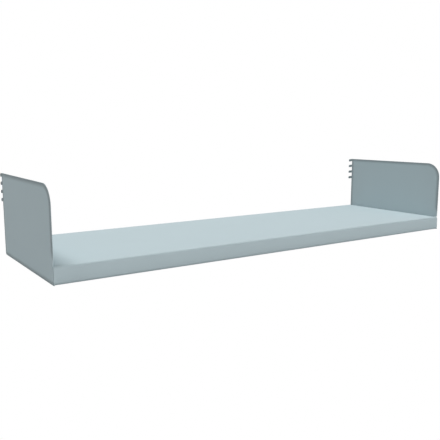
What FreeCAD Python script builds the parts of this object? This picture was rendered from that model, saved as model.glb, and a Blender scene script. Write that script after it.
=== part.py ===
"""Cantilever shelf for slotted uprights: a folded sheet pan between two flat end brackets.

X runs along the shelf, +Y points to the rear, where the uprights stand, and +Z is up.
The origin is the centre of the underside of the bounding box, hooks included.
Lengths are in millimetres. Bend radii are measured on the outer side of the sheet.
"""

import FreeCAD, Part
import math
import os

# Overall sizes
shelf_width = 900.0             # over the outer faces of the brackets
shelf_depth = 270.0             # front face of the lip to the rear edges of the brackets
bracket_height = 150.0          # underside to the top edge of a bracket
deck_height = 28.5              # underside to the top of the deck

# Sheets
pan_sheet = 1.2
bracket_sheet = 1.5

# Folds along the front and the rear of the pan
front_bend_radius = 5.0         # deck to lip
rear_bend_radius = 3.0          # deck to rear fold
return_bend_radius = 5.0        # lip and rear fold to their returns
front_return = 20.0             # depth of the bottom return behind the lip
front_hem = 9.0                 # height of the stiffening hem at the end of that return
rear_return = 14.0              # depth of the bottom return of the rear fold

# Flanges at the ends of the pan, and the corner cut-outs that let it fold
end_flange = 20.0               # height of the flange that lies against a bracket
end_bend_radius = 6.0           # deck to end flange
corner_relief = 2.0             # slot between an end bend and the front or rear bend
return_setback = 6.5            # returns stop this far from the brackets
lip_setback = 0.8               # lip, which covers the brackets' front edges, to their outer faces
rear_fold_gap = 0.5             # rear fold to the inner face of a bracket
rear_setback = 0.5              # rear fold ahead of the rear edges of the brackets

# Outline of a bracket
nose_radius = 32.0              # front top corner
heel_radius = 5.0               # rear bottom corner
slot_clearance = 0.3            # bracket slot to the pan sheet that passes through it

# Hooks on the rear edge of a bracket
hook_count = 4
hook_pitch = 15.0
hook_reach = 11.5               # rear edge of the bracket to the tip of a hook
hook_neck = 6.0                 # height of a hook where it leaves the bracket
hook_throat = 5.0               # space for the upright's wall, between the bracket and the hook's nose
hook_drop = 1.0                 # nose below the neck
hook_fall = 1.5                 # upper edge of a hook, lower at its tip than at its root
hook_tip_radius = 3.5
hook_nose_radius = 0.4
hook_root_radius = 0.6

# Places that follow from the sizes
half_width = shelf_width / 2
bracket_inner_x = half_width - bracket_sheet
return_end_x = bracket_inner_x - return_setback
lip_end_x = half_width - lip_setback
front_y = -(shelf_depth + hook_reach) / 2
bracket_rear_y = front_y + shelf_depth
pan_rear_y = bracket_rear_y - rear_setback


def in_side_view(y, z):
    """A point of a section drawn across the shelf, seen along X."""
    return FreeCAD.Vector(0, y, z)


def in_front_view(x, z):
    """A point of a section drawn along the shelf, seen along Y."""
    return FreeCAD.Vector(x, 0, z)


def rounded_edges(corners, closed):
    """Straight runs joined by tangent arcs, from (point, radius) corners; a radius of 0 stays sharp.

    An arc takes the length reach = radius / tan(half the corner's angle) from each of its two runs.
    Where two arcs would meet on a run that is too short for both, they shrink until they fit it.
    """
    count = len(corners)
    points = [point for point, _ in corners]
    half_angles = []
    reaches = []
    for index, (point, radius) in enumerate(corners):
        if radius == 0:
            half_angles.append(math.pi / 2)
            reaches.append(0.0)
            continue
        to_previous = points[index - 1] - point
        to_next = points[(index + 1) % count] - point
        half_angles.append(to_previous.getAngle(to_next) / 2)
        reaches.append(radius / math.tan(half_angles[index]))
    run_count = count if closed else count - 1
    for index in range(run_count):
        following = (index + 1) % count
        run = (points[following] - points[index]).Length
        wanted = reaches[index] + reaches[following]
        if wanted > run:
            reaches[index] *= run / wanted
            reaches[following] *= run / wanted

    starts = []
    ends = []
    arcs = []
    for index, point in enumerate(points):
        to_previous = (points[index - 1] - point).normalize()
        to_next = (points[(index + 1) % count] - point).normalize()
        starts.append(point + to_previous * reaches[index])
        ends.append(point + to_next * reaches[index])
        if reaches[index] == 0:
            arcs.append(None)
            continue
        radius = reaches[index] * math.tan(half_angles[index])
        to_centre = radius / math.sin(half_angles[index])
        middle = point + (to_previous + to_next).normalize() * (to_centre - radius)
        arcs.append(Part.Arc(starts[index], middle, ends[index]).toShape())

    edges = []
    for index in range(count):
        if arcs[index] is not None:
            edges.append(arcs[index])
        following = (index + 1) % count
        has_run = index < run_count
        if has_run and (starts[following] - ends[index]).Length > Part.Precision.confusion():
            edges.append(Part.makeLine(ends[index], starts[following]))
    return edges


def folded_sheet(corners, thickness, sweep):
    """A bent sheet: the outer line of its section, given its thickness and carried along the sweep.

    The sheet lies to the right of the line, as seen by someone who faces back against the sweep.
    """
    outer_line = Part.Wire(rounded_edges(corners, closed=False))
    section = outer_line.makeOffset2D(thickness, fill=True, openResult=True)
    return section.extrude(sweep)


def mirrored_in_x(shape):
    """The same piece at the other end of the shelf."""
    return shape.mirror(FreeCAD.Vector(0, 0, 0), FreeCAD.Vector(1, 0, 0))


def pan_main_folds():
    """Hem, bottom return, lip, deck, rear fold and its return, between the ends of the returns."""
    hem_y = front_y + front_return
    rear_return_y = pan_rear_y - rear_return
    corners = [
        (in_side_view(hem_y, front_hem), 0),
        (in_side_view(hem_y, 0), return_bend_radius),
        (in_side_view(front_y, 0), return_bend_radius),
        (in_side_view(front_y, deck_height), front_bend_radius),
        (in_side_view(pan_rear_y, deck_height), rear_bend_radius),
        (in_side_view(pan_rear_y, 0), return_bend_radius),
        (in_side_view(rear_return_y, 0), 0),
    ]
    folds = folded_sheet(corners, pan_sheet, FreeCAD.Vector(2 * return_end_x, 0, 0))
    folds.translate(FreeCAD.Vector(-return_end_x, 0, 0))
    return folds


def lip_end():
    """The lip and the front bend, carried past the returns and over the front edge of the right bracket."""
    corners = [
        (in_side_view(front_y, 0), 0),
        (in_side_view(front_y, deck_height), front_bend_radius),
        (in_side_view(front_y + front_bend_radius, deck_height), 0),
    ]
    end = folded_sheet(corners, pan_sheet, FreeCAD.Vector(lip_end_x - return_end_x, 0, 0))
    end.translate(FreeCAD.Vector(return_end_x, 0, 0))
    return end


def rear_fold_end():
    """The rear fold and its bend, carried past the returns to just short of the right bracket."""
    length = bracket_inner_x - rear_fold_gap - return_end_x
    corners = [
        (in_side_view(pan_rear_y - rear_bend_radius, deck_height), 0),
        (in_side_view(pan_rear_y, deck_height), rear_bend_radius),
        (in_side_view(pan_rear_y, 0), 0),
    ]
    end = folded_sheet(corners, pan_sheet, FreeCAD.Vector(length, 0, 0))
    end.translate(FreeCAD.Vector(return_end_x, 0, 0))
    return end


def deck_end():
    """The end of the deck and the flange that turns down flat against the right bracket."""
    start_y = front_y + front_bend_radius + corner_relief
    end_y = pan_rear_y - rear_bend_radius - corner_relief
    corners = [
        (in_front_view(bracket_inner_x, deck_height - end_flange), 0),
        (in_front_view(bracket_inner_x, deck_height), end_bend_radius),
        (in_front_view(return_end_x, deck_height), 0),
    ]
    end = folded_sheet(corners, pan_sheet, FreeCAD.Vector(0, end_y - start_y, 0))
    end.translate(FreeCAD.Vector(0, start_y, 0))
    return end


def shelf_pan():
    """The whole pan, folded from one sheet."""
    right_end = [lip_end(), rear_fold_end(), deck_end()]
    left_end = [mirrored_in_x(shape) for shape in right_end]
    return pan_main_folds().fuse(right_end + left_end).removeSplitter()


def hook_corners(index):
    """Outline of one hook, from the root of its upper edge round the nose to the root of its throat."""
    top_z = bracket_height - index * hook_pitch
    neck_z = top_z - hook_neck
    nose_z = neck_z - hook_drop
    tip_y = bracket_rear_y + hook_reach
    throat_y = bracket_rear_y + hook_throat
    upper_root_radius = 0 if index == 0 else hook_root_radius
    return [
        (in_side_view(bracket_rear_y, top_z), upper_root_radius),
        (in_side_view(tip_y, top_z - hook_fall), hook_tip_radius),
        (in_side_view(tip_y, nose_z), hook_nose_radius),
        (in_side_view(throat_y, nose_z), hook_nose_radius),
        (in_side_view(throat_y, neck_z), hook_root_radius),
        (in_side_view(bracket_rear_y, neck_z), hook_root_radius),
    ]


def end_bracket():
    """The flat right bracket: its front edge stands behind the lip, and the front bend lies in its slot."""
    behind_lip_y = front_y + pan_sheet + slot_clearance
    slot_end_y = front_y + front_bend_radius + slot_clearance
    under_deck_z = deck_height - pan_sheet - slot_clearance
    over_deck_z = deck_height + slot_clearance
    inner_bend_radius = front_bend_radius - pan_sheet - slot_clearance
    corners = [
        (in_side_view(behind_lip_y, 0), 0),
        (in_side_view(behind_lip_y, under_deck_z), inner_bend_radius),
        (in_side_view(slot_end_y, under_deck_z), 0),
        (in_side_view(slot_end_y, over_deck_z), 0),
        (in_side_view(behind_lip_y, over_deck_z), 0),
        (in_side_view(behind_lip_y, bracket_height), nose_radius),
    ]
    for index in range(hook_count):
        corners += hook_corners(index)
    corners.append((in_side_view(bracket_rear_y, 0), heel_radius))
    outline = Part.Wire(rounded_edges(corners, closed=True))
    plate = Part.Face(outline).extrude(FreeCAD.Vector(bracket_sheet, 0, 0))
    plate.translate(FreeCAD.Vector(bracket_inner_x, 0, 0))
    return plate


def main():
    """Write each piece to its own file."""
    right_bracket = end_bracket()
    pieces = {
        "shelf_pan": shelf_pan(),
        "left_bracket": mirrored_in_x(right_bracket),
        "right_bracket": right_bracket,
    }
    os.makedirs("parts", exist_ok=True)
    for name, shape in pieces.items():
        shape.exportStep(f"parts/{name}.step")
        print(name, "valid:", shape.isValid(), "solids:", len(shape.Solids), "volume:", round(shape.Volume))


main()
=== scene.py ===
import math

import bpy
import numpy as np
from bpy.props import FloatProperty, FloatVectorProperty, IntProperty, PointerProperty
from bpy.types import Operator, Panel, PropertyGroup
from mathutils import Matrix, Vector


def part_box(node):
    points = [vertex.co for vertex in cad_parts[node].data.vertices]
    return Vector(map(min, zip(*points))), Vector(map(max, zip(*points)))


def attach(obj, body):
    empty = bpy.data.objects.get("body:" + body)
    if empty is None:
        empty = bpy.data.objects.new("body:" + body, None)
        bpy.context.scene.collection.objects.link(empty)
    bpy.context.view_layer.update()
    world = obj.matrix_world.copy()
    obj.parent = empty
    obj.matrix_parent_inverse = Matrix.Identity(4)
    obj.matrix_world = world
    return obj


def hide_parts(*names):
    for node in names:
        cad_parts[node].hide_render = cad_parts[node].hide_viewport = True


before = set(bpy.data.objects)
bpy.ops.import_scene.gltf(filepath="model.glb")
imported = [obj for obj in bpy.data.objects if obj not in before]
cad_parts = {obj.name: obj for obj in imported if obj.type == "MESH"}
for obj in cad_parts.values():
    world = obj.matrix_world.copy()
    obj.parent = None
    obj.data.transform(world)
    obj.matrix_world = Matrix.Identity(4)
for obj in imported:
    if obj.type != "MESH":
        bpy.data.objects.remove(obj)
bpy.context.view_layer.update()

bl_info = {
    "name": "Cantilever Shelf",
    "version": (1, 0, 0),
    "blender": (4, 5, 0),
    "location": "3D View > Sidebar > Shelf",
    "description": "Folds a cantilever shelf's pan, cuts its end brackets, coats them and sets the stage",
    "category": "Add Mesh",
}

BODY = "root"
MILLIMETRE = 0.001
WELD = 0.001 * MILLIMETRE           # points nearer than this are one point
CUT_EDGE_ANGLE = math.radians(50)   # a sharper turn than this is a cut edge, and is rounded
CUT_EDGE_STEPS = 3                  # faces round a cut edge
FLAT_WEIGHT = 100                   # the largest face at a point gives its normal, so flats shade flat
# painted shade: the darker band along a bracket's cut edges is at its darkest this near the edge
PAINTED_SHADE_START = 0.2 * MILLIMETRE       # a bracket's darker band is at its full shade this near the edge
FRAME_WIDTH = 36.0                  # width of the camera's frame, in millimetres

PAN_LOW, PAN_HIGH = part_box("shelf_pan")
LEFT_LOW, LEFT_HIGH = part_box("left_bracket")
RIGHT_LOW, RIGHT_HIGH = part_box("right_bracket")


# ---------------------------------------------------------------- sizes and colours

def length(name, description, default):
    """A length that the user can set, in metres."""
    return FloatProperty(name=name, description=description, default=default, min=0.0, unit="LENGTH",
                         subtype="DISTANCE", precision=5)


def share(name, description, default):
    """A share from 0 to 1 that the user can set."""
    return FloatProperty(name=name, description=description, default=default, min=0.0, max=1.0,
                         subtype="FACTOR")


def angle(name, description, degrees):
    """An angle that the user can set, given in degrees."""
    return FloatProperty(name=name, description=description, default=math.radians(degrees), subtype="ANGLE")


def strength(name, description, default):
    """The strength of a light that the user can set."""
    return FloatProperty(name=name, description=description, default=default, min=0.0)


def vector(name, description, subtype, default):
    """A place or direction that the user can set."""
    return FloatVectorProperty(name=name, description=description, size=3, subtype=subtype, default=default)


class PanSettings(PropertyGroup):
    """Folds of the shelf pan. Radii are on the outer side of the sheet."""

    sheet: length("Sheet", "Thickness of the pan's sheet", 1.2 * MILLIMETRE)
    front_bend: length("Front bend", "Bend from the deck to the lip", 5.0 * MILLIMETRE)
    rear_bend: length("Rear bend", "Bend from the deck to the rear fold", 3.0 * MILLIMETRE)
    return_bend: length("Return bend", "Bends at the underside", 5.0 * MILLIMETRE)
    front_return: length("Front return", "Depth of the return behind the lip", 20.0 * MILLIMETRE)
    front_hem: length("Front hem", "Height of the hem at the end of the front return", 9.0 * MILLIMETRE)
    rear_return: length("Rear return", "Depth of the return of the rear fold", 14.0 * MILLIMETRE)
    end_flange: length("End flange", "Height of the flange against a bracket", 20.0 * MILLIMETRE)
    end_bend: length("End bend", "Bend from the deck to an end flange", 6.0 * MILLIMETRE)
    corner_relief: length("Corner relief", "Slot beside an end bend", 2.0 * MILLIMETRE)
    return_setback: length("Return setback", "Returns stop this far from the brackets", 6.5 * MILLIMETRE)
    rear_fold_gap: length("Rear fold gap", "Rear fold to a bracket", 0.5 * MILLIMETRE)
    foot_gap: length("Foot gap", "Bend at the foot of the lip to a bracket", 0.2 * MILLIMETRE)
    edge_round: length("Edge rounding", "Rounding of the sheet's cut edges", 0.25 * MILLIMETRE)
    arc_steps: IntProperty(name="Arc steps", description="Faces round a bend", default=14, min=2)


class BracketSettings(PropertyGroup):
    """Outline of an end bracket and its hooks."""

    nose_radius: length("Nose radius", "Front top corner", 32.0 * MILLIMETRE)
    heel_radius: length("Heel radius", "Rear bottom corner", 5.0 * MILLIMETRE)
    slot_clearance: length("Slot clearance", "Slot to the pan's sheet", 0.3 * MILLIMETRE)
    hook_count: IntProperty(name="Hooks", description="Hooks on the rear edge", default=4, min=1)
    hook_pitch: length("Hook pitch", "From one hook to the next", 15.0 * MILLIMETRE)
    hook_reach: length("Hook reach", "Rear edge to the tip of a hook", 11.5 * MILLIMETRE)
    hook_neck: length("Hook neck", "Height of a hook at the bracket", 6.0 * MILLIMETRE)
    hook_throat: length("Hook throat", "Space for the upright's wall", 5.0 * MILLIMETRE)
    hook_drop: length("Hook drop", "Nose below the neck", 1.0 * MILLIMETRE)
    hook_fall: length("Hook fall", "Upper edge, lower at the tip than at the root", 1.5 * MILLIMETRE)
    hook_tip_radius: length("Hook tip radius", "Upper corner of the nose", 3.5 * MILLIMETRE)
    hook_nose_radius: length("Hook nose radius", "Lower corners of the nose", 0.4 * MILLIMETRE)
    hook_root_radius: length("Hook root radius", "Corners at the root of a hook", 0.6 * MILLIMETRE)
    edge_round: length("Edge rounding", "Rounding of the punched edge", 0.35 * MILLIMETRE)
    arc_steps: IntProperty(name="Arc steps", description="Faces round a corner", default=14, min=2)


class CoatSettings(PropertyGroup):
    """The powder coat, and the painted shade along the brackets' cut edges."""

    color: FloatVectorProperty(name="Colour", description="Colour of the powder coat", size=3,
                               subtype="COLOR", min=0.0, max=1.0, default=(0.516, 0.618, 0.650))
    cloud_size: length("Cloud size", "Width of the soft clouds in the coat's colour", 60.0 * MILLIMETRE)
    cloud_depth: share("Cloud depth", "Difference in brightness between those clouds", 0.03)
    grain_size: length("Grain size", "Width of the powder's grains", 0.5 * MILLIMETRE)
    grain_depth: share("Grain depth", "Difference in brightness between those grains", 0.02)
    roughness: share("Roughness", "Roughness of the coat", 0.85)
    matt_size: length("Matt patch size", "Width of the rougher and smoother patches", 8.0 * MILLIMETRE)
    matt_depth: share("Matt patch depth", "Difference in roughness between those patches", 0.06)
    gloss: share("Gloss", "Strength of the coat's reflections, where 0.5 is plain lacquer", 0.2)
    peel_size: length("Peel size", "Width of the coat's orange peel waves", 1.6 * MILLIMETRE)
    peel_height: length("Peel height", "Height of those waves", 0.012 * MILLIMETRE)
    # Painted shade: the next three settings darken the coat in a band along a bracket's cut edges and over
    # its hooks. The band stands in for the shade and dark outline at those edges, not a change in the coat.
    painted_shade_width: length("Edge band", "Width of the darker band along a bracket's cut edge", 9.0 * MILLIMETRE)
    painted_shade_taper: length("Band taper", "Height above the deck at which the front edge's band is full",
                       25.0 * MILLIMETRE)
    painted_shade_level: share("Edge shade", "Colour of a cut edge as a share of the coat's colour", 0.58)


class StageSettings(PropertyGroup):
    """Camera, lamps and floor."""

    camera_place: vector("Camera place", "Place of the camera", "TRANSLATION",
                         (-0.71594, -0.97422, 0.22906))
    camera_turn: angle("Camera turn", "Turn of the view from +Y towards +X", 33.929)
    camera_dip: angle("Camera dip", "Fall of the view below level", 8.818)
    camera_roll: angle("Camera roll", "Roll of the camera about its view", -0.004)
    lens: FloatProperty(name="Lens", description="Focal length in millimetres on a 36 mm frame",
                        default=48.120, min=1.0)
    sky: strength("Sky", "Strength of the even light from all round", 0.25)
    key: strength("Key", "Strength of the high key lamp", 2.39)
    key_from: vector("Key from", "Direction the key light comes from", "DIRECTION", (-0.16, 0.74, 1.0))
    key_spread: angle("Key spread", "Angle of the key lamp, which softens its shadows", 24.0)
    fill: strength("Fill", "Strength of the soft lamp in front", 1.67)
    fill_from: vector("Fill from", "Direction the fill light comes from", "DIRECTION", (0.10, -1.0, 0.15))
    fill_spread: angle("Fill spread", "Angle of the fill lamp", 60.0)
    floor_size: length("Floor size", "Side of the square floor", 12.0)
    floor_drop: length("Floor drop", "Floor below the shelf's underside, which keeps their faces apart",
                       0.2 * MILLIMETRE)
    floor_shade: share("Floor shade", "Share of the light that the floor sends back", 0.54)
    floor_glow: share("Floor glow", "Share of plain white in the floor as the camera sees it", 1.0)


# ---------------------------------------------------------------- curves and meshes

def rounded_line(corners, steps, closed):
    """Points of a line whose corners are rounded, as an array of (a, b) rows.

    corners holds rows (a, b, radius). At each corner the arc starts and ends at the distance
    radius / tan(half the corner's angle) from it, and its points are centre + radius * unit vector,
    with the unit vector turned evenly from one tangent point to the other. A radius of 0 stays sharp.
    """
    corners = np.asarray(corners, float)
    points, radii = corners[:, :2], corners[:, 2]
    before = np.roll(points, 1, axis=0) - points
    after = np.roll(points, -1, axis=0) - points
    before /= np.linalg.norm(before, axis=1, keepdims=True)
    after /= np.linalg.norm(after, axis=1, keepdims=True)
    if not closed:
        radii = radii * np.r_[0, np.ones(len(radii) - 2), 0]
    line = []
    for point, radius, u, v in zip(points, radii, before, after):
        if radius == 0:
            line.append(point[None])
            continue
        half = math.acos(np.clip(u @ v, -1, 1)) / 2
        middle = (u + v) / np.linalg.norm(u + v)
        centre = point + middle * radius / math.sin(half)
        start = point + u * radius / math.tan(half) - centre
        side = np.array([-start[1], start[0]])
        side *= np.sign(side @ (v - u))
        turn = np.linspace(0, math.pi - 2 * half, steps + 1)[:, None]
        line.append(centre + start * np.cos(turn) + side * np.sin(turn))
    line = np.concatenate(line)
    steps_apart = np.linalg.norm(np.diff(line, axis=0), axis=1)
    return line[np.r_[True, steps_apart > WELD]]


def carried(profile, path):
    """The points and faces of a profile carried along a path, both arrays of (x, y, z) rows.

    Point (i, j) is path[i] + profile[j], and a face joins (i, j), (i, j + 1), (i + 1, j + 1), (i + 1, j).
    It faces towards the profile's direction crossed with the path's.
    """
    points = (path[:, None, :] + profile[None, :, :]).reshape(-1, 3)
    corner = np.arange(len(path) - 1)[:, None] * len(profile) + np.arange(len(profile) - 1)[None, :]
    corner = corner.reshape(-1, 1)
    return points, corner + np.array([0, 1, len(profile) + 1, len(profile)])


def joined(patches):
    """Patches made into one set of points and faces, in which points at one place are one point."""
    starts = np.cumsum([0] + [len(points) for points, _ in patches])
    points = np.concatenate([points for points, _ in patches])
    faces = np.concatenate([faces + start for (_, faces), start in zip(patches, starts)])
    _, first, place = np.unique(np.round(points / WELD), axis=0, return_index=True, return_inverse=True)
    return points[first], place.reshape(-1)[faces]


def new_object(name, data):
    """A new object at the origin of the scene that shows a mesh, lamp or camera."""
    obj = bpy.data.objects.new(name, data)
    bpy.context.scene.collection.objects.link(obj)
    return obj


def mesh_object(name, points, faces):
    """A new object from arrays of points and faces."""
    mesh = bpy.data.meshes.new(name)
    mesh.from_pydata(points.tolist(), [], np.asarray(faces).tolist())
    if mesh.validate():
        raise ValueError(f"{name}: these sizes give a broken mesh")
    mesh.shade_smooth()
    return new_object(name, mesh)


def give_thickness(obj, thickness, edge_round):
    """A sheet's thickness behind its outer surface, with rounded cut edges and flats shaded flat."""
    sheet = obj.modifiers.new("Sheet", "SOLIDIFY")
    sheet.thickness = thickness
    sheet.offset = -1.0
    sheet.use_even_offset = True
    rounding = obj.modifiers.new("Edge rounding", "BEVEL")
    rounding.limit_method = "ANGLE"
    rounding.angle_limit = CUT_EDGE_ANGLE
    rounding.width = edge_round
    rounding.segments = CUT_EDGE_STEPS
    rounding.use_clamp_overlap = False
    shading = obj.modifiers.new("Flat shading", "WEIGHTED_NORMAL")
    shading.weight = FLAT_WEIGHT
    shading.keep_sharp = False
    return obj


def dress(obj, node, material):
    """Coat a piece, let it ride on the shelf's one body and let it stand for its CAD node."""
    obj.data.materials.append(material)
    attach(obj, BODY)
    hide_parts(node)
    return obj


# ---------------------------------------------------------------- the pan

def in_side_view(line):
    """Rows (y, z) as points of a section drawn across the shelf."""
    return np.column_stack([np.zeros(len(line)), line])


def in_front_view(line):
    """Rows (x, z) as points of a section drawn along the shelf."""
    return np.column_stack([line[:, 0], np.zeros(len(line)), line[:, 1]])


def leftwards(*places):
    """A path along X through the places, from right to left."""
    return np.array([(x, 0, 0) for x in sorted(places, reverse=True)], float)


def rearwards(*places):
    """A path along Y through the places, from front to rear."""
    return np.array([(0, y, 0) for y in sorted(places)], float)


def pan_surface(pan):
    """The pan's outer surface: the folds' sections carried along X, the deck and end flanges along Y.

    A section is a line of straight runs and arcs. The sections share their points where folds meet, and
    where they don't, the sheet has a cut edge: at the ends of the returns, beside the reliefs at the
    deck's corners, and at the toes of the lip and the rear fold, which run on past the returns. The bend
    at the foot of the lip runs on past its return too, to just short of the brackets.
    """
    front, rear, deck = PAN_LOW.y, PAN_HIGH.y, PAN_HIGH.z
    inner_x = RIGHT_LOW.x
    return_x = inner_x - pan.return_setback
    fold_x = inner_x - pan.rear_fold_gap
    foot_x = inner_x - pan.foot_gap
    lip_x = PAN_HIGH.x
    hem_y = front + pan.front_return
    front_bend_y = front + pan.front_bend
    rear_bend_y = rear - pan.rear_bend
    flange_front_y = front_bend_y + pan.corner_relief
    flange_rear_y = rear_bend_y - pan.corner_relief
    flange_z = deck - pan.end_flange
    bend = pan.return_bend

    def line(*corners):
        """An open line through corners (a, b, radius)."""
        return rounded_line(corners, pan.arc_steps, closed=False)

    def foot(before, corner, after):
        """The return bend at a corner, without the runs from one neighbouring point and to the other."""
        return line((*before, 0), (*corner, bend), (*after, 0))[1:-1]

    between_returns = leftwards(return_x, -return_x)
    foot_path = leftwards(foot_x, return_x, -return_x, -foot_x)
    lip_path = leftwards(lip_x, foot_x, return_x, -return_x, -foot_x, -lip_x)
    fold_path = leftwards(fold_x, return_x, -return_x, -fold_x)
    hem = line((hem_y, pan.front_hem, 0), (hem_y, 0, bend), (front + bend, 0, 0))
    lip_foot = foot((front + 2 * bend, 0), (front, 0), (front, 2 * bend))
    lip = line((front, bend, 0), (front, deck, pan.front_bend), (front_bend_y, deck, 0))
    fold = line((rear_bend_y, deck, 0), (rear, deck, pan.rear_bend), (rear, bend, 0))
    fold_foot = foot((rear, 2 * bend), (rear, 0), (rear - 2 * bend, 0))
    deck_and_flanges = line(
        (-inner_x, flange_z, 0),
        (-inner_x, deck, pan.end_bend),
        (-return_x, deck, 0),
        (return_x, deck, 0),
        (inner_x, deck, pan.end_bend),
        (inner_x, flange_z, 0),
    )
    patches = [
        carried(in_side_view(hem), between_returns),
        carried(in_side_view(lip_foot), foot_path),
        carried(in_side_view(lip), lip_path),
        carried(in_side_view(line((front_bend_y, deck, 0), (flange_front_y, deck, 0))), between_returns),
        carried(in_front_view(deck_and_flanges), rearwards(flange_front_y, flange_rear_y)),
        carried(in_side_view(line((flange_rear_y, deck, 0), (rear_bend_y, deck, 0))), between_returns),
        carried(in_side_view(fold), fold_path),
        carried(in_side_view(fold_foot), between_returns),
        carried(in_side_view(line((rear - bend, 0, 0), (rear - pan.rear_return, 0, 0))), between_returns),
    ]
    for lip_end, fold_end in ((leftwards(lip_x, foot_x), leftwards(fold_x, return_x)),
                              (leftwards(-lip_x, -foot_x), leftwards(-fold_x, -return_x))):
        patches.append(carried(in_side_view(line((front, 0, 0), (front, bend, 0))), lip_end))
        patches.append(carried(in_side_view(line((rear, bend, 0), (rear, 0, 0))), fold_end))
    return joined(patches)


# ---------------------------------------------------------------- the brackets

def bracket_outline(pan, bracket):
    """Outline of an end bracket as rows (y, z): slot for the pan, rounded nose, hooks and heel."""
    front = LEFT_LOW.y
    rear = LEFT_HIGH.y - bracket.hook_reach
    top, deck = LEFT_HIGH.z, PAN_HIGH.z
    gap = pan.sheet + bracket.slot_clearance
    slot_end = PAN_LOW.y + pan.front_bend + bracket.slot_clearance
    corners = [
        (PAN_LOW.y + gap, 0, 0),
        (PAN_LOW.y + gap, deck - gap, pan.front_bend - gap),
        (slot_end, deck - gap, 0),
        (slot_end, deck + bracket.slot_clearance, 0),
        (front, deck + bracket.slot_clearance, 0),
        (front, top, bracket.nose_radius),
    ]
    for index in range(bracket.hook_count):
        hook_top = top - index * bracket.hook_pitch
        neck = hook_top - bracket.hook_neck
        nose = neck - bracket.hook_drop
        tip, throat = rear + bracket.hook_reach, rear + bracket.hook_throat
        corners += [
            (rear, hook_top, bracket.hook_root_radius if index else 0),
            (tip, hook_top - bracket.hook_fall, bracket.hook_tip_radius),
            (tip, nose, bracket.hook_nose_radius),
            (throat, nose, bracket.hook_nose_radius),
            (throat, neck, bracket.hook_root_radius),
            (rear, neck, bracket.hook_root_radius),
        ]
    corners.append((rear, 0, bracket.heel_radius))
    return rounded_line(corners, bracket.arc_steps, closed=True)


# ---------------------------------------------------------------- shader maths

class Value:
    """A socket of a node tree: sums, differences, products and comparisons on it add Math nodes."""

    def __init__(self, tree, socket):
        self.tree = tree
        self.socket = socket

    def _math(self, operation, *values):
        return self.tree.node("ShaderNodeMath", {"operation": operation}, *values)

    def __add__(self, other):
        return self._math("ADD", self, other)

    def __sub__(self, other):
        return self._math("SUBTRACT", self, other)

    def __rsub__(self, other):
        return self._math("SUBTRACT", other, self)

    def __mul__(self, other):
        return self._math("MULTIPLY", self, other)

    __radd__ = __add__
    __rmul__ = __mul__

    def at_least(self, other):
        """The larger of the two."""
        return self._math("MAXIMUM", self, other)

    def at_most(self, other):
        """The smaller of the two."""
        return self._math("MINIMUM", self, other)

    def root(self):
        """The square root."""
        return self._math("SQRT", self)

    def ramp(self, low, high):
        """0 below low and 1 above high, with a smooth rise between them."""
        return self.tree.node("ShaderNodeMapRange", {"interpolation_type": "SMOOTHSTEP"}, self, low, high)


class Tree:
    """The empty node tree of a material or world, whose nodes are all added by one method."""

    def __init__(self, owner):
        owner.use_nodes = True
        self.nodes = owner.node_tree.nodes
        self.links = owner.node_tree.links
        self.nodes.clear()

    def node(self, kind, settings, *values, output=0, **named):
        """A node of a kind, with its settings made first and then the values or links of its sockets."""
        made = self.nodes.new(kind)
        for name, value in settings.items():
            setattr(made, name, value)
        named = {name.replace("_", " "): value for name, value in named.items()}
        for key, value in [*enumerate(values), *named.items()]:
            if isinstance(value, Value):
                self.links.new(value.socket, made.inputs[key])
            else:
                made.inputs[key].default_value = value
        return Value(self, made.outputs[output]) if made.outputs else made

    def position(self):
        """The X, Y and Z of a point of the piece, in metres."""
        place = self.node("ShaderNodeTexCoord", {}, output="Object")
        return [self.node("ShaderNodeSeparateXYZ", {}, place, output=axis) for axis in "XYZ"]

    def noise(self, size):
        """Even noise about 0.5 whose waves are about size wide."""
        place = self.node("ShaderNodeTexCoord", {}, output="Object")
        return self.node("ShaderNodeTexNoise", {}, Vector=place, Scale=1 / size)

    def swing(self, size, depth):
        """That noise about 0, from depth / 2 below it to depth / 2 above it."""
        return depth * (self.noise(size) - 0.5)

    def shaded(self, color, shade):
        """A colour times a value."""
        return self.node("ShaderNodeVectorMath", {"operation": "SCALE"}, Vector=color, Scale=shade)

    def directly_seen(self):
        """1 where the camera, a reflection or a clear surface looks, and 0 where light is gathered."""
        kinds = ("Is Camera Ray", "Is Glossy Ray", "Is Transmission Ray")
        camera, glossy, clear = [self.node("ShaderNodeLightPath", {}, output=kind) for kind in kinds]
        return camera.at_least(glossy).at_least(clear)


# ---------------------------------------------------------------- finishes

def powder_coat(name, coat, painted_shade_nodes=None):
    """Satin powder coat with clouds, grain and orange peel.

    The third argument adds the nodes that tell how far a point is in the painted shade along a cut edge,
    from 0 to 1.
    """
    material = bpy.data.materials.new(name)
    tree = Tree(material)
    shade = 1 + tree.swing(coat.cloud_size, coat.cloud_depth)
    shade = shade * (1 + tree.swing(coat.grain_size, coat.grain_depth))
    if painted_shade_nodes is not None:
        # painted shade: the coat is darker towards a bracket's cut edges
        shade = shade * (1 - (1 - coat.painted_shade_level) * painted_shade_nodes(tree))
    color = tree.shaded(tuple(coat.color), shade)
    peel = tree.node("ShaderNodeBump", {}, Distance=coat.peel_height, Height=tree.noise(coat.peel_size))
    roughness = coat.roughness + tree.swing(coat.matt_size, coat.matt_depth)
    surface = tree.node("ShaderNodeBsdfPrincipled", {}, Base_Color=color, Roughness=roughness, Normal=peel,
                        Specular_IOR_Level=coat.gloss)
    tree.node("ShaderNodeOutputMaterial", {}, Surface=surface)
    return material


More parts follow.
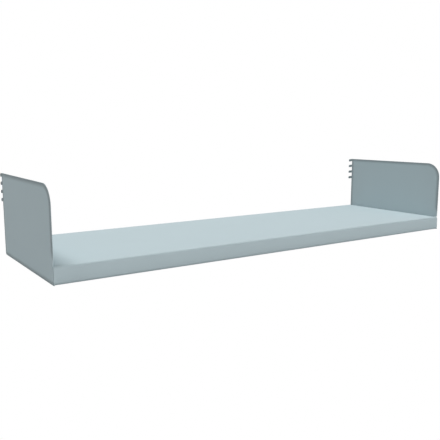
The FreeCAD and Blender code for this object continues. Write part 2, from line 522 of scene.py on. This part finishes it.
def bracket_painted_shade(coat, bracket):
    """The painted shade along a bracket's cut edges, for powder_coat: a darker band that stands in for the
    shade at those edges.

    The depth of a point inside the outline is nose radius - hypot(a, b), where a and b are how far it
    lies beyond the middle of the nose's arc towards the front and the top. It is at most the distance to
    the rear edge and to the underside. The band is 1 at the edge and on the hooks and 0 at
    painted_shade_width.
    Along the front edge it starts from nothing at the deck and is full at painted_shade_taper above it, as
    a is less there by up to painted_shade_width.
    """
    front, rear = LEFT_LOW.y, LEFT_HIGH.y - bracket.hook_reach
    top, deck, nose = LEFT_HIGH.z, PAN_HIGH.z, bracket.nose_radius

    def band(tree):
        _, y, z = tree.position()
        taper = 1 - z.ramp(deck, deck + coat.painted_shade_taper)
        ahead = (front + nose - y - coat.painted_shade_width * taper).at_least(0)
        high = (z - (top - nose)).at_least(0)
        depth = nose - (ahead * ahead + high * high).root()
        depth = depth.at_most(rear - y).at_most(z)
        return 1 - depth.ramp(PAINTED_SHADE_START, coat.painted_shade_width)

    return band


def studio_white(name, shade, glow):
    """A floor that the camera and reflections see as plain white, and that is clear from below."""
    material = bpy.data.materials.new(name)
    tree = Tree(material)
    matt = tree.node("ShaderNodeBsdfDiffuse", {}, Color=(shade, shade, shade, 1))
    white = tree.node("ShaderNodeEmission", {}, Color=(1, 1, 1, 1), Strength=1.0)
    seen = tree.node("ShaderNodeMixShader", {}, tree.directly_seen() * glow, matt, white)
    below = tree.node("ShaderNodeNewGeometry", {}, output="Backfacing")
    clear = tree.node("ShaderNodeBsdfTransparent", {}, Color=(1, 1, 1, 1))
    surface = tree.node("ShaderNodeMixShader", {}, below, seen, clear)
    tree.node("ShaderNodeOutputMaterial", {}, Surface=surface)
    return material


# ---------------------------------------------------------------- operators

class SHELF_OT_pan(Operator):
    """Fold the shelf pan from its sheet"""

    bl_idname = "shelf.pan"
    bl_label = "Shelf Pan"

    def execute(self, context):
        settings = context.scene.shelf_pan
        pan = mesh_object("folded_pan", *pan_surface(settings))
        give_thickness(pan, settings.sheet, settings.edge_round)
        dress(pan, "shelf_pan", powder_coat("pan coat", context.scene.shelf_coat))
        return {"FINISHED"}


class SHELF_OT_brackets(Operator):
    """Cut the two end brackets with their hooks"""

    bl_idname = "shelf.brackets"
    bl_label = "End Brackets"

    def execute(self, context):
        scene = context.scene
        outline = bracket_outline(scene.shelf_pan, scene.shelf_bracket)
        # painted shade along the brackets' cut edges and hooks
        edge = bracket_painted_shade(scene.shelf_coat, scene.shelf_bracket)
        material = powder_coat("bracket coat", scene.shelf_coat, edge)
        for node, outer_x, inner_x in (
            ("left_bracket", LEFT_LOW.x, LEFT_HIGH.x),
            ("right_bracket", RIGHT_HIGH.x, RIGHT_LOW.x),
        ):
            vertices = np.column_stack([np.full(len(outline), outer_x), outline])
            face = list(range(len(outline)))
            if outer_x > inner_x:  # the right plate's outer side is seen from the other side
                face.reverse()
            plate = mesh_object(node.replace("bracket", "plate"), vertices, [face])
            give_thickness(plate, abs(outer_x - inner_x), scene.shelf_bracket.edge_round)
            dress(plate, node, material)
        return {"FINISHED"}


class SHELF_OT_stage(Operator):
    """Set the floor, the lamps, the sky and the camera"""

    bl_idname = "shelf.stage"
    bl_label = "Stage"

    def execute(self, context):
        stage = context.scene.shelf_stage
        self.floor(stage)
        self.sky(context.scene, stage)
        self.sun("Key lamp", stage.key, stage.key_from, stage.key_spread)
        self.sun("Fill lamp", stage.fill, stage.fill_from, stage.fill_spread)
        self.camera(context.scene, stage)
        context.scene.view_settings.view_transform = "Standard"
        return {"FINISHED"}

    def floor(self, stage):
        """A flat square centred under the shelf."""
        half = stage.floor_size / 2
        corners = half * np.array([(-1, -1, 0), (1, -1, 0), (1, 1, 0), (-1, 1, 0)], float)
        corners[:, 2] = -stage.floor_drop
        floor = mesh_object("floor", corners, [(0, 1, 2, 3)])
        floor.data.materials.append(studio_white("floor white", stage.floor_shade, stage.floor_glow))

    def sky(self, scene, stage):
        """Even light, which the camera and reflections see as white."""
        scene.world = bpy.data.worlds.new("Sky")
        tree = Tree(scene.world)
        brightness = stage.sky + (1 - stage.sky) * tree.directly_seen()
        light = tree.node("ShaderNodeBackground", {}, Color=(1, 1, 1, 1), Strength=brightness)
        tree.node("ShaderNodeOutputWorld", {}, Surface=light)

    def sun(self, name, energy, comes_from, spread):
        """A lamp at no distance in particular that shines from one direction."""
        lamp = bpy.data.lights.new(name, "SUN")
        lamp.energy = energy
        lamp.angle = spread
        obj = new_object(name, lamp)
        obj.matrix_world = Vector(comes_from).to_track_quat("Z", "Y").to_matrix().to_4x4()

    def camera(self, scene, stage):
        """A camera turned about Z, dipped about its own X and rolled about its view."""
        camera = bpy.data.cameras.new("Camera")
        camera.sensor_width = FRAME_WIDTH
        camera.lens = stage.lens
        obj = new_object("Camera", camera)
        obj.matrix_world = (
            Matrix.Translation(stage.camera_place)
            @ Matrix.Rotation(-stage.camera_turn, 4, "Z")
            @ Matrix.Rotation(math.pi / 2 - stage.camera_dip, 4, "X")
            @ Matrix.Rotation(stage.camera_roll, 4, "Z")
        )
        scene.camera = obj


class SHELF_PT_sidebar(Panel):
    """The shelf's pieces and their sizes"""

    bl_idname = "SHELF_PT_sidebar"
    bl_label = "Cantilever Shelf"
    bl_space_type = "VIEW_3D"
    bl_region_type = "UI"
    bl_category = "Shelf"

    def draw(self, context):
        scene = context.scene
        for operator, groups in (
            ("shelf.pan", (scene.shelf_coat, scene.shelf_pan)),
            ("shelf.brackets", (scene.shelf_bracket,)),
            ("shelf.stage", (scene.shelf_stage,)),
        ):
            self.layout.operator(operator)
            column = self.layout.column(align=True)
            for settings in groups:
                for name in settings.__annotations__:
                    column.prop(settings, name)


SETTINGS = {"shelf_pan": PanSettings, "shelf_bracket": BracketSettings, "shelf_coat": CoatSettings,
            "shelf_stage": StageSettings}
CLASSES = (*SETTINGS.values(), SHELF_OT_pan, SHELF_OT_brackets, SHELF_OT_stage, SHELF_PT_sidebar)


def register():
    for cls in CLASSES:
        bpy.utils.register_class(cls)
    for name, cls in SETTINGS.items():
        setattr(bpy.types.Scene, name, PointerProperty(type=cls))


def unregister():
    for name in SETTINGS:
        delattr(bpy.types.Scene, name)
    for cls in reversed(CLASSES):
        bpy.utils.unregister_class(cls)


def main():
    """Make every piece and the stage."""
    register()
    bpy.ops.shelf.pan()
    bpy.ops.shelf.brackets()
    bpy.ops.shelf.stage()


if __name__ == "__main__":
    main()
